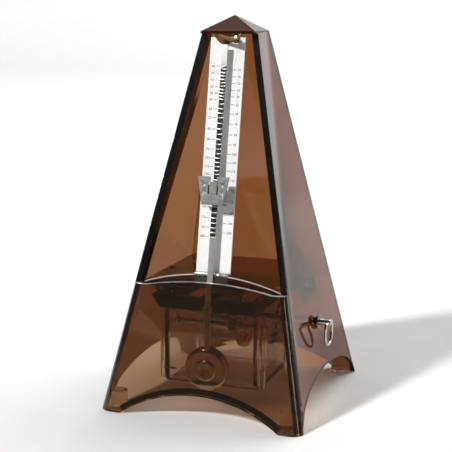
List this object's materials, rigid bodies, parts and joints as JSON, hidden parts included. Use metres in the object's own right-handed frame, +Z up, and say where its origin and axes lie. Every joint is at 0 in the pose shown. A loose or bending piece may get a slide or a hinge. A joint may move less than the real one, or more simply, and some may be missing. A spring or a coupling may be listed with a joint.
{
  "type": "metronome",
  "caption": "Pyramid clockwork metronome: smoked transparent case, leaning pendulum rod with a sliding weight, scale plate, geared spring movement and folding winding key.",
  "frame": {"origin": "centre of the base, on the surface it stands on", "axes": "+Z up, front opening faces -Y, winding key on +X"},
  "size_m": [0.1178, 0.1188, 0.215],
  "materials": {
    "smoked_plastic": "polished, transparent brown",
    "clear_plastic": "polished, clear",
    "foot_rubber": "matte",
    "black_plastic": "satin moulded",
    "white_enamel": "gloss white",
    "print_black": "printed ink",
    "steel": "machined",
    "polished_steel": "polished, nickel plated",
    "rod_steel": "brushed strip with dark grooves",
    "weight_steel": "satin, pressed sheet",
    "spring_steel": "blued",
    "bob_bronze": "turned, satin",
    "brass": "turned"
  },
  "bodies": {
    "case": {"case_shell": "smoked_plastic", "foot_pads": "foot_rubber", "deck_plate": "smoked_plastic", "deck_screws": "steel", "scale_plate": "white_enamel", "scale_marks": "print_black", "plate_foot": "clear_plastic", "top_retainer": "smoked_plastic", "catch_stud": "steel", "movement_tray": "black_plastic", "tray_pillars": "steel", "movement_housing": "smoked_plastic", "housing_side_plate": "smoked_plastic", "housing_screws": "steel", "verge_bushes": "brass", "click_screw": "steel", "click_spring": "spring_steel", "wall_bush": "polished_steel"},
    "pendulum": {"pendulum_rod": "rod_steel", "verge_arbor": "steel", "verge_pallets": "steel", "rod_hub": "brass", "pendulum_bob": "bob_bronze", "bob_rivet": "steel"},
    "sliding_weight": {"weight_plate": "weight_steel", "weight_guide": "weight_steel", "weight_spring": "spring_steel"},
    "catch": {"rod_catch": "brass"},
    "winding": {"winding_arbor": "polished_steel", "ratchet_wheel": "steel"},
    "bail": {"key_bail": "polished_steel"},
    "great_train": {"great_wheel": "brass", "spring_barrel": "brass", "barrel_cover": "brass", "mainspring": "spring_steel"},
    "second_train": {"second_pinion": "steel", "second_wheel": "brass"},
    "escape_train": {"escape_pinion": "steel", "escape_wheel": "brass"},
    "click": {"ratchet_click": "steel"}
  },
  "joints": [
    {"name": "pendulum_swing", "type": "hinge", "parent": "case", "child": "pendulum", "pos_m": [0, -0.04178, 0.059], "axis": [0, 1, 0], "range_deg": [-22, 22]},
    {"name": "weight_slide", "type": "slide", "parent": "pendulum", "child": "sliding_weight", "axis": [0, 0.1864, 0.9825], "range_m": [-0.0324, 0.06]},
    {"name": "catch_turn", "type": "hinge", "parent": "case", "child": "catch", "pos_m": [0.0065, -0.01056, 0.201], "axis": [0, -0.9825, 0.1864], "range_deg": [0, 32]},
    {"name": "key_wind", "type": "hinge", "parent": "case", "child": "winding", "pos_m": [0.03, -0.0036, 0.047], "axis": [1, 0, 0], "continuous": true},
    {"name": "bail_fold", "type": "hinge", "parent": "winding", "child": "bail", "pos_m": [0.057, -0.0036, 0.047], "axis": [0, -1, 0], "range_deg": [-15, 180]},
    {"name": "great_turn", "type": "hinge", "parent": "case", "child": "great_train", "pos_m": [0, -0.0036, 0.047], "axis": [1, 0, 0], "continuous": true},
    {"name": "second_turn", "type": "hinge", "parent": "case", "child": "second_train", "pos_m": [0, -0.0246, 0.04684], "axis": [1, 0, 0], "continuous": true},
    {"name": "escape_turn", "type": "hinge", "parent": "case", "child": "escape_train", "pos_m": [0, -0.0261, 0.059], "axis": [1, 0, 0], "continuous": true},
    {"name": "click_lift", "type": "hinge", "parent": "case", "child": "click", "pos_m": [0.029, -0.0131, 0.039], "axis": [-1, 0, 0], "range_deg": [0, 12], "stiffness_Nm_per_rad": 0.0005}
  ],
  "couplings": [
    {"joint": "second_turn", "follows": "great_turn", "ratio": -6},
    {"joint": "escape_turn", "follows": "great_turn", "ratio": 36}
  ]
}
